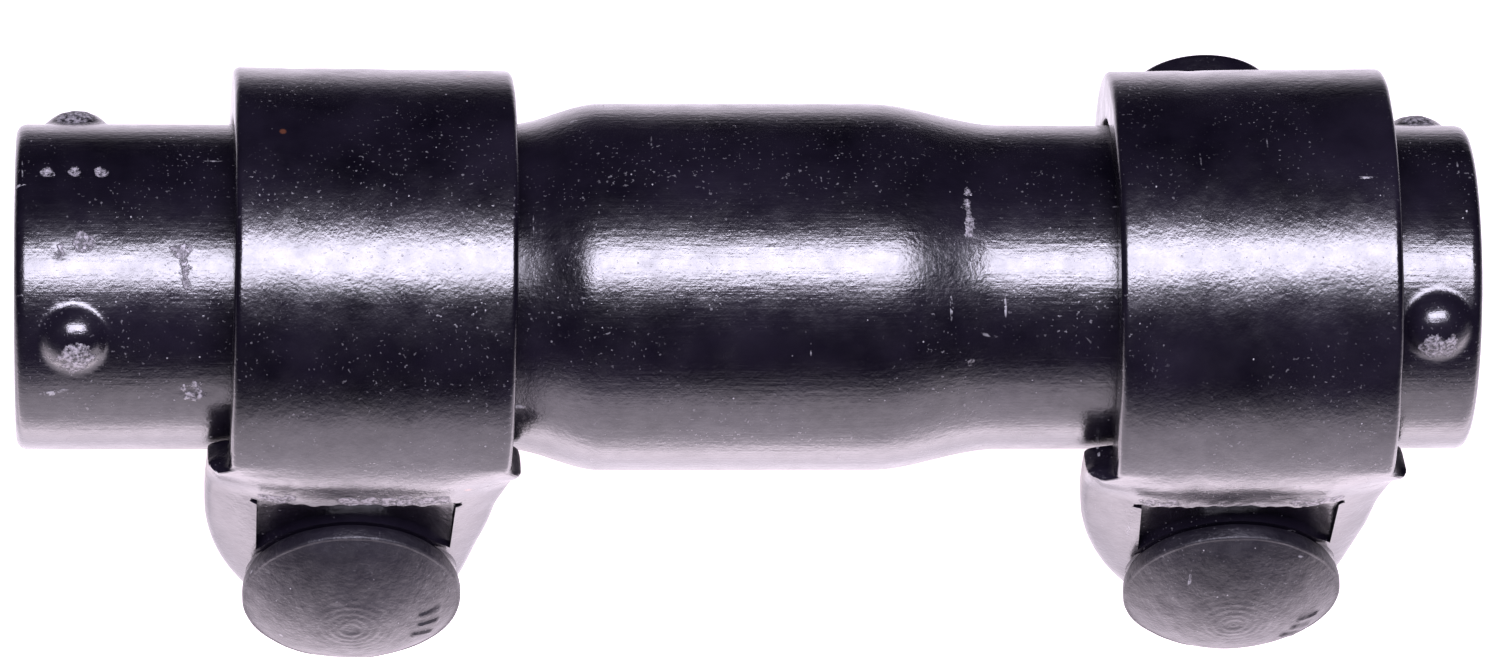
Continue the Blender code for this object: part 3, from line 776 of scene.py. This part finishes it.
def bolt_shape(side):
    """Adds lathe rings, forged unevenness, the grade bars and the thread to the plain bolt."""
    lean = HEAD_LEAN[side]
    dimple_depth, dimple_radius = CENTRE_DIMPLE
    bar_width, bar_length = GRADE_BAR_HALF
    thread_start = BOLT_LENGTH - BOLT_THREAD_LENGTH

    def shape(r, z, angle):
        top = z > HEAD_RIM - 0.3 * MM
        place = cylindrical(r, z, angle)
        rings = np.sin(r / LATHE_WAVE + 0.7 * np.sin(angle + lean))
        lathe = LATHE_HEIGHT * (1 + ripple(place, 6 * MM, 63)) * rings
        lathe = lathe * smooth_step(1.2 - r / LATHE_REACH)
        forged = 0.14 * MM * ripple(place, 14 * MM, HEAD_SEED[side])
        forged += 0.05 * MM * ripple(place, 3.4 * MM, 61)
        forged += 0.02 * MM * ripple(place, 1.2 * MM, 62, 12)
        dimple = -dimple_depth * np.exp(-((r / dimple_radius) ** 2))
        height = np.where(top, z + lathe + forged * smooth_step(r / (2 * MM)) + dimple, z)
        for degrees in GRADE_BARS:
            along = signed_turn(angle, math.radians(degrees + lean * 10)) * r
            bar = np.exp(-((along / bar_width) ** 8) - ((r - GRADE_BAR_RADIUS) / bar_length) ** 12)
            height = height + np.where(top, GRADE_BAR_HEIGHT * bar, 0)
        threaded = (np.abs(r - BOLT_RADIUS) < 0.01 * MM) & (z < -thread_start)
        runout = smooth_ramp(-z, thread_start, thread_start + BOLT_THREAD_RUNOUT)
        cut = BOLT_THREAD_DEPTH * groove(z / BOLT_PITCH - angle / (2 * math.pi)) * runout
        rim = (z > -1 * MM) * smooth_ramp(r, 14 * MM, 17 * MM)
        beaten = 0.1 * MM * (ripple(place, 5 * MM, 64) - 1) * rim
        return np.where(threaded, r - cut, r + beaten), height

    return shape


def make_bolt(side):
    profile = head_profile()
    profile += [(BOLT_RADIUS + 0.4 * MM, 0), (BOLT_RADIUS, -0.4 * MM)]
    plain_end = BOLT_THREAD_LENGTH - BOLT_LENGTH
    profile.append((BOLT_RADIUS, plain_end))
    threaded = BOLT_THREAD_LENGTH - BOLT_CHAMFER
    steps = int(threaded / BOLT_PITCH * 8)
    for step in range(1, steps + 1):
        profile.append((BOLT_RADIUS, plain_end - threaded * step / steps))
    profile += [(BOLT_RADIUS - BOLT_CHAMFER, -BOLT_LENGTH), (0.02 * MM, -BOLT_LENGTH)]
    line = bolt_line(side) @ Matrix.Translation((0, 0, SEAT + GAP))
    points = placed(turned_points(profile, BOLT_COLUMNS, bolt_shape(side)), line)
    bolt = mesh_object(f"fine_{side}_clamp_bolt", points, close_rows=False, caps=True)
    neck = prism_object("neck", square(NECK_SIDE, 1.4 * MM), -NECK_LENGTH, 0.5 * MM, 0, line)
    boolean(bolt, neck, "UNION")
    shade(bolt, 28)
    return bolt


def make_washer(side):
    top = NUT_HEIGHT - NUT_END + GAP + WASHER_THICKNESS
    low, inner = top - WASHER_THICKNESS, BOLT_RADIUS + GAP
    corners = [(WASHER_RADIUS, top, 0.5 * MM), (WASHER_RADIUS, low, 0.8 * MM)]
    corners += [(inner, low, 0.3 * MM), (inner, top, 0.5 * MM)]

    def shape(r, z, angle):
        rim = 0.1 * MM * ripple(cylindrical(r, z, angle), 9 * MM, 70) * (r > WASHER_RADIUS - MM)
        return r - np.abs(rim), z

    points = turned_points(spaced(rounded(corners), 0.8 * MM), 128, shape)
    washer = mesh_object(f"fine_{side}_washer", placed(points, bolt_line(side)))
    shade(washer)
    return washer


def make_nut(side):
    low, high = -NUT_END, NUT_HEIGHT - NUT_END
    hex_low = high - HEX_HEIGHT
    corner = NUT_FLATS / 2 / math.cos(math.radians(30))
    face = NUT_FLATS / 2 - 0.7 * MM
    bore = BOLT_RADIUS + GAP
    ring_low = low + LIP_HEIGHT
    ring_seat = ring_low + RING_HEIGHT + GAP
    corners = [
        (face, high, 0.3 * MM), (corner, high - 1.3 * MM, 0.3 * MM),
        (corner, hex_low + 1.3 * MM, 0.3 * MM), (face, hex_low, 0.3 * MM),
        (COLLAR_RADIUS, hex_low - 0.05 * MM, 0.4 * MM),
        (COLLAR_RADIUS + COLLAR_SWELL, low, 0.7 * MM), (LIP_RADIUS, low, 0.25 * MM),
        (LIP_RADIUS, ring_low - GAP, 0), (RING_RADIUS + GAP, ring_low - GAP, 0),
        (RING_RADIUS + GAP, ring_seat, 0), (bore, ring_seat, 0),
        (bore, high - 1 * MM, 0), (bore + 1 * MM, high, 0.1 * MM),
    ]

    def shape(r, z, angle):
        sector = (angle + math.pi / 6) % (math.pi / 3) - math.pi / 6
        flat = NUT_FLATS / 2 / np.cos(sector)
        hexed = (z > hex_low - 0.02 * MM) & (r > bore + 1.5 * MM)
        threaded = (np.abs(r - bore) < 0.01 * MM) & (z > ring_low + RING_HEIGHT + 0.6 * MM)
        cut = NUT_THREAD_DEPTH * groove(z / BOLT_PITCH - angle / (2 * math.pi))
        clipped = smooth_min(r, flat, 0.25 * MM)
        return np.where(hexed, np.minimum(clipped, r), r) + np.where(threaded, cut, 0), z

    points = turned_points(spaced(rounded(corners), 0.25 * MM), NUT_COLUMNS, shape)
    nut = mesh_object(f"fine_{side}_lock_nut", placed(points, bolt_line(side)))
    shade(nut, 35)
    return nut


def make_ring(side):
    low = LIP_HEIGHT - NUT_END
    inner = BOLT_RADIUS + GAP
    corners = [(RING_RADIUS, low + RING_HEIGHT, 0.3 * MM), (RING_RADIUS, low, 0.3 * MM)]
    corners += [(inner, low, 1.2 * MM), (inner, low + RING_HEIGHT, 1.2 * MM)]
    points = turned_points(spaced(rounded(corners), 0.5 * MM), 96)
    ring = mesh_object(f"fine_{side}_nylon_ring", placed(points, bolt_line(side)))
    shade(ring)
    return ring


# --- Materials --------------------------------------------------------------------------------


class Nodes:
    """Short calls for building one material's node tree."""

    def __init__(self, name):
        self.material = bpy.data.materials.new(name)
        self.material.use_nodes = True
        self.tree = self.material.node_tree
        self.shader = self.tree.nodes["Principled BSDF"]
        self.place = self.tree.nodes.new("ShaderNodeTexCoord").outputs["Object"]

    def put(self, socket, value):
        if isinstance(value, bpy.types.NodeSocket):
            self.tree.links.new(value, socket)
        else:
            socket.default_value = value

    def scaled(self, factors):
        """Object coordinates stretched by a factor on each axis."""
        node = self.tree.nodes.new("ShaderNodeVectorMath")
        node.operation = "MULTIPLY"
        self.put(node.inputs[0], self.place)
        self.put(node.inputs[1], factors)
        return node.outputs[0]

    def split(self, axis):
        node = self.tree.nodes.new("ShaderNodeSeparateXYZ")
        self.put(node.inputs[0], self.place)
        return node.outputs[axis]

    def noise(self, scale, detail=3, rough=0.5, vector=None):
        node = self.tree.nodes.new("ShaderNodeTexNoise")
        self.put(node.inputs["Vector"], vector or self.place)
        self.put(node.inputs["Scale"], scale)
        self.put(node.inputs["Detail"], detail)
        self.put(node.inputs["Roughness"], rough)
        return node.outputs["Fac"]

    def cells(self, scale, output="Distance"):
        node = self.tree.nodes.new("ShaderNodeTexVoronoi")
        self.put(node.inputs["Vector"], self.place)
        self.put(node.inputs["Scale"], scale)
        return node.outputs[output]

    def ramp(self, value, low, high, out_low=0.0, out_high=1.0):
        node = self.tree.nodes.new("ShaderNodeMapRange")
        self.put(node.inputs["Value"], value)
        self.put(node.inputs["From Min"], low)
        self.put(node.inputs["From Max"], high)
        self.put(node.inputs["To Min"], out_low)
        self.put(node.inputs["To Max"], out_high)
        return node.outputs["Result"]

    def math(self, operation, a, b):
        node = self.tree.nodes.new("ShaderNodeMath")
        node.operation = operation
        self.put(node.inputs[0], a)
        self.put(node.inputs[1], b)
        return node.outputs[0]

    def mix(self, share, a, b):
        node = self.tree.nodes.new("ShaderNodeMix")
        node.data_type = "RGBA"
        self.put(node.inputs["Factor"], share)
        self.put(node.inputs["A"], a)
        self.put(node.inputs["B"], b)
        return node.outputs["Result"]

    def attribute(self, name):
        node = self.tree.nodes.new("ShaderNodeAttribute")
        node.attribute_name = name
        return node.outputs["Fac"]

    def bump(self, height, strength, distance, normal=None):
        node = self.tree.nodes.new("ShaderNodeBump")
        self.put(node.inputs["Height"], height)
        self.put(node.inputs["Strength"], strength)
        self.put(node.inputs["Distance"], distance)
        if normal:
            self.put(node.inputs["Normal"], normal)
        return node.outputs["Normal"]


def paint(name, grain, rough, line_depth=0.5, speck_share=0.05, fine=0.34, shine=0.5, mottle=0.12):
    """Black paint over worked steel: tool lines along the grain, orange peel, dust, chips, and pale
    marks that also serve as painted highlight.
    """
    n = Nodes(name)
    cloud = n.noise(55, 4, 0.6)
    colour = n.mix(n.ramp(cloud, 0.3, 0.7), PAINT_DARK, PAINT_LIGHT)

    # Pale specks of two sizes, short strokes and fine dust in patches
    pale = 0
    for scale, radius, share in ((560, 0.09, 0.5 * speck_share), (230, 0.045, speck_share)):
        chosen = n.ramp(n.cells(scale, "Color"), 0.76 - share, 0.9 - share)
        dot = n.math("MULTIPLY", n.ramp(n.cells(scale), radius, radius * 0.6), chosen)
        pale = n.math("MAXIMUM", pale, dot)
    strokes = 0
    for stretch in ((700, 60, 90), (90, 500, 240)):
        field = n.noise(1, 1, 0.4, n.scaled(stretch))
        strokes = n.math("MAXIMUM", strokes, n.ramp(field, 0.775, 0.8))
    broken = n.ramp(n.noise(1100), 0.45, 0.6)
    speck = n.math("MAXIMUM", pale, n.math("MULTIPLY", strokes, broken))
    grains = n.ramp(n.noise(1900, 1, 0.4), 0.68, 0.76)
    patches = n.ramp(n.noise(70, 3, 0.6), 0.42, 0.62)
    dust = n.math("MULTIPLY", grains, patches)
    speck = n.math("MAXIMUM", speck, n.math("MULTIPLY", dust, 0.35))
    colour = n.mix(n.math("MULTIPLY", speck, 0.5), colour, DUST)

    # A few rust spots, and pale scuffs with ragged edges where the piece is worn and where pale
    # spots are painted highlight
    rust_dot = n.ramp(n.cells(75), 0.05, 0.03)
    rust_spot = n.math("MULTIPLY", rust_dot, n.ramp(n.cells(75, "Color"), 0.66, 0.67))
    colour = n.mix(n.math("MULTIPLY", rust_spot, 0.8), colour, RUST)
    frayed = n.math("ADD", n.attribute("wear"), n.ramp(n.noise(420, 3, 0.7), 0.3, 0.7, -0.5, 0.5))
    scuff_and_highlight = n.ramp(frayed, 0.5, 0.75)
    grit = n.ramp(n.noise(1400, 3, 0.7), 0.4, 0.6)
    gritty_scuff_and_highlight = n.math("MULTIPLY", scuff_and_highlight, grit)
    colour = n.mix(gritty_scuff_and_highlight, colour, SCUFF_AND_HIGHLIGHT)
    n.put(n.shader.inputs["Base Color"], colour)

    roughness = n.ramp(n.noise(240, 4, 0.6), 0.25, 0.75, rough - 0.05, rough + 0.07)
    roughness = n.math("ADD", roughness, n.math("MULTIPLY", speck, 0.3))
    roughness = n.math("ADD", roughness, n.math("MULTIPLY", scuff_and_highlight, 0.25))
    n.put(n.shader.inputs["Roughness"], roughness)

    # Tool lines, orange peel, fine grain, then the specks and scuffs
    lines = n.noise(1, 3, 0.65, n.scaled(tuple(260 * g for g in grain)))
    peel = n.noise(900, 2, 0.5)
    normal = n.bump(lines, line_depth, 0.00012)
    normal = n.bump(peel, 0.4, 0.00008, normal)
    normal = n.bump(n.noise(1700, 2, 0.6), fine, 0.0001, normal)
    normal = n.bump(speck, 0.5, 0.00008, normal)
    normal = n.bump(gritty_scuff_and_highlight, 0.7, 0.0002, normal)
    n.put(n.shader.inputs["Normal"], normal)
    n.shader.inputs["IOR"].default_value = 1.55
    patchy = n.ramp(n.noise(420, 4, 0.65), 0.32, 0.68, shine * (1 - mottle), shine * (1 + mottle))
    n.put(n.shader.inputs["Specular IOR Level"], patchy)
    return n.material


def nylon(name):
    n = Nodes(name)
    n.put(n.shader.inputs["Base Color"], n.mix(n.noise(300), NYLON_DARK, NYLON_LIGHT))
    n.put(n.shader.inputs["Roughness"], n.ramp(n.noise(500), 0.3, 0.7, 0.38, 0.5))
    n.put(n.shader.inputs["Normal"], n.bump(n.noise(1500, 3), 0.2, 0.0001))
    return n.material


def wear_and_highlight_of(obj, spots):
    """Marks places of wear and of painted highlight: (x, y, z, radius) in the frame, as a point
    attribute from 0 to 1.
    """
    place = np.array([v.co for v in obj.data.vertices], float).reshape(-1, 3)
    worn = np.zeros(len(place))
    for x, y, z, radius in spots:
        away = np.linalg.norm(place - np.array([x, y, z]), axis=1)
        worn = np.maximum(worn, smooth_step(1.6 * (1 - away / radius)))
    attribute = obj.data.attributes.new("wear", "FLOAT", "POINT")
    attribute.data.foreach_set("value", worn.astype(np.float32))


def sleeve_wear_and_highlight_spots():
    """Where the paint is worn, on the nubs and along the scars, and pale spots in the punch dots
    that are painted highlight.
    """

    def on_tube(x, degrees, radius, height=0):
        turn = math.radians(degrees)
        reach = NECK_RADIUS + height
        return (x, AXIS.y - reach * math.cos(turn), AXIS.z + reach * math.sin(turn), radius)

    spots = [on_tube(x, degrees - 7, 4.8 * MM, 0.8 * NUB_HEIGHT) for _, x, degrees in nub_centres()]
    # The pale spots in the punch dots are painted highlight, standing in for the glint on their
    # glossy rims.
    x, degrees = PUNCH_MARKS
    spots += [on_tube(x + index * PUNCH_PITCH, degrees, 1.2 * PUNCH_RADIUS) for index in (-1, 0, 1)]
    for centre_x, degrees, length, width, _ in scars():
        count = max(1, round(2 * length / MM))
        for index in range(count):
            shift = math.degrees((index - (count - 1) / 2) * MM / NECK_RADIUS)
            spots.append(on_tube(centre_x, degrees + shift, max(1.1 * width, 1.3 * MM)))
    return spots


def strap_wear_and_highlight_spots(side):
    """Pale spots along the torn lip: cracked paint, and painted highlight on its lit crease."""
    matrix = clamp_frame(side)
    spots = []
    # These pale spots are partly cracked paint and partly painted highlight on the lit crease above
    # the lip.
    for start, end in BARE_AND_HIGHLIGHT_LIP[side]:
        steps = round((end - start) / BARE_PITCH)
        for step in range(steps + 1):
            across = start + (end - start) * step / steps
            radius = (1.5 + 0.7 * math.sin(2.3 * step)) * MM
            depth = SEAT_TOP - (1.5 + 0.6 * math.sin(3.7 * step)) * MM
            spot = matrix @ Vector((BOLT_SHIFT[side] + across * MM, -LIP_FACE, -depth))
            spots.append((*spot, radius))
    return spots


# --- Studio -----------------------------------------------------------------------------------


def plane_object(name, size, location):
    bm = bmesh.new()
    bmesh.ops.create_grid(bm, x_segments=1, y_segments=1, size=size / 2)
    mesh = bpy.data.meshes.new(name)
    bm.to_mesh(mesh)
    bm.free()
    obj = bpy.data.objects.new(name, mesh)
    obj.location = location
    bpy.context.scene.collection.objects.link(obj)
    return obj


def area_light(name, location, target, size, power, colour):
    light = bpy.data.lights.new(name, "AREA")
    light.shape, light.size, light.size_y = "RECTANGLE", size[0], size[1]
    light.energy, light.color = power, colour
    obj = bpy.data.objects.new(name, light)
    obj.location = location
    obj.rotation_euler = (Vector(target) - Vector(location)).to_track_quat("-Z", "Y").to_euler()
    bpy.context.scene.collection.objects.link(obj)


def make_studio():
    floor = plane_object("floor", FLOOR_SIZE, (0, 0, -FLOOR_DROP))
    n = Nodes("pale_floor")
    away = n.tree.nodes.new("ShaderNodeVectorMath")
    away.operation = "LENGTH"
    n.put(away.inputs[0], n.place)
    # The floor darkens away from the middle: painted falloff of the light.
    near = n.ramp(away.outputs["Value"], *FLOOR_FADE)
    front = n.ramp(n.split("Y"), *FLOOR_FRONT)
    pale = n.mix(n.noise(3), *FLOOR_NEAR)
    n.put(n.shader.inputs["Base Color"], n.mix(near, FLOOR_FAR, pale))
    n.put(n.shader.inputs["Emission Color"], FLOOR_GLOW)
    # The painted glow is light that no lamp gives: it lifts the object's shadow on the floor, is
    # stronger in front than behind, and is strongest in a strip in front of the heads, which the
    # heads reflect.
    near_edge, far_edge = (n.ramp(n.split("Y"), *edge) for edge in STRIP_EDGES)
    strip = n.math("MULTIPLY", near_edge, far_edge)
    base_glow = n.ramp(front, 0, 1, *FLOOR_STRENGTH)
    glow = n.math("ADD", base_glow, n.math("MULTIPLY", strip, STRIP_STRENGTH))
    n.put(n.shader.inputs["Emission Strength"], n.math("MULTIPLY", near, glow))
    n.put(n.shader.inputs["Roughness"], 0.9)
    n.put(n.shader.inputs["Specular IOR Level"], 0.1)
    floor.data.materials.append(n.material)
    area_light(
        "overhead_softbox", SOFTBOX_PLACE, SOFTBOX_AIM, SOFTBOX_SIZE, SOFTBOX_POWER, SOFTBOX_COLOUR
    )
    world = bpy.data.worlds.new("dark_studio")
    world.use_nodes = True
    background = world.node_tree.nodes["Background"]
    background.inputs["Color"].default_value = STUDIO_DARK
    background.inputs["Strength"].default_value = 1
    bpy.context.scene.world = world
    bpy.context.scene.view_settings.view_transform = "Standard"


def make_camera():
    elevation = math.radians(CAMERA_ELEVATION)
    up = Vector((0, math.sin(elevation), math.cos(elevation)))
    back = Vector((0, -math.cos(elevation), math.sin(elevation)))
    target = AXIS + Vector((CAMERA_AIM[0], 0, 0)) + up * CAMERA_AIM[1]
    aside = CAMERA_OFFSET / CAMERA_DISTANCE
    back = Vector((aside, 0, 0)) + back * math.sqrt(1 - aside**2)
    right = (Vector((1, 0, 0)) - back * back.x).normalized()
    turn = Matrix((right, back.cross(right), back)).transposed()
    data = bpy.data.cameras.new("camera")
    data.lens, data.sensor_width = CAMERA_LENS, 36
    data.clip_start, data.clip_end = 0.05, 20
    camera = bpy.data.objects.new("camera", data)
    camera.matrix_world = Matrix.Translation(target + back * CAMERA_DISTANCE) @ turn.to_4x4()
    bpy.context.scene.collection.objects.link(camera)
    bpy.context.scene.camera = camera


# --- Putting it together ------------------------------------------------------------------------


def finish_piece(piece, body, node, material, spots=()):
    """Paints a piece and puts it in the place of its node, on its body."""
    piece.data.materials.clear()
    piece.data.materials.append(material)
    wear_and_highlight_of(piece, spots)
    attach(piece, body)
    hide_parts(node)


make_camera()
make_studio()

tube_paint = paint("tube_paint", grain=(0.25, 4, 4), rough=0.22, line_depth=0.32)
strap_paint = paint("strap_paint", grain=(1.5, 1, 1), rough=0.22, line_depth=0.4)
bolt_paint = paint(
    "bolt_paint",
    grain=(4, 4, 4),
    rough=0.5,
    line_depth=0.9,
    speck_share=0.1,
    fine=1.0,
    shine=0.34,
    mottle=0.3,
)
nut_paint = paint("nut_paint", grain=(1, 2, 2), rough=0.22)

finish_piece(make_sleeve(), "sleeve", "sleeve_tube", tube_paint, sleeve_wear_and_highlight_spots())
for side in SIDES:
    strap, spots = make_strap(side), strap_wear_and_highlight_spots(side)
    finish_piece(strap, f"{side}_strap", f"{side}_clamp_strap", strap_paint, spots)
    finish_piece(make_bolt(side), f"{side}_bolt", f"{side}_clamp_bolt", bolt_paint)
    finish_piece(make_washer(side), f"{side}_washer", f"{side}_washer", nut_paint)
    finish_piece(make_nut(side), f"{side}_nut", f"{side}_lock_nut", nut_paint)
    ring = make_ring(side)
    finish_piece(ring, f"{side}_nut", f"{side}_nylon_ring", nylon(f"{side}_nylon"))
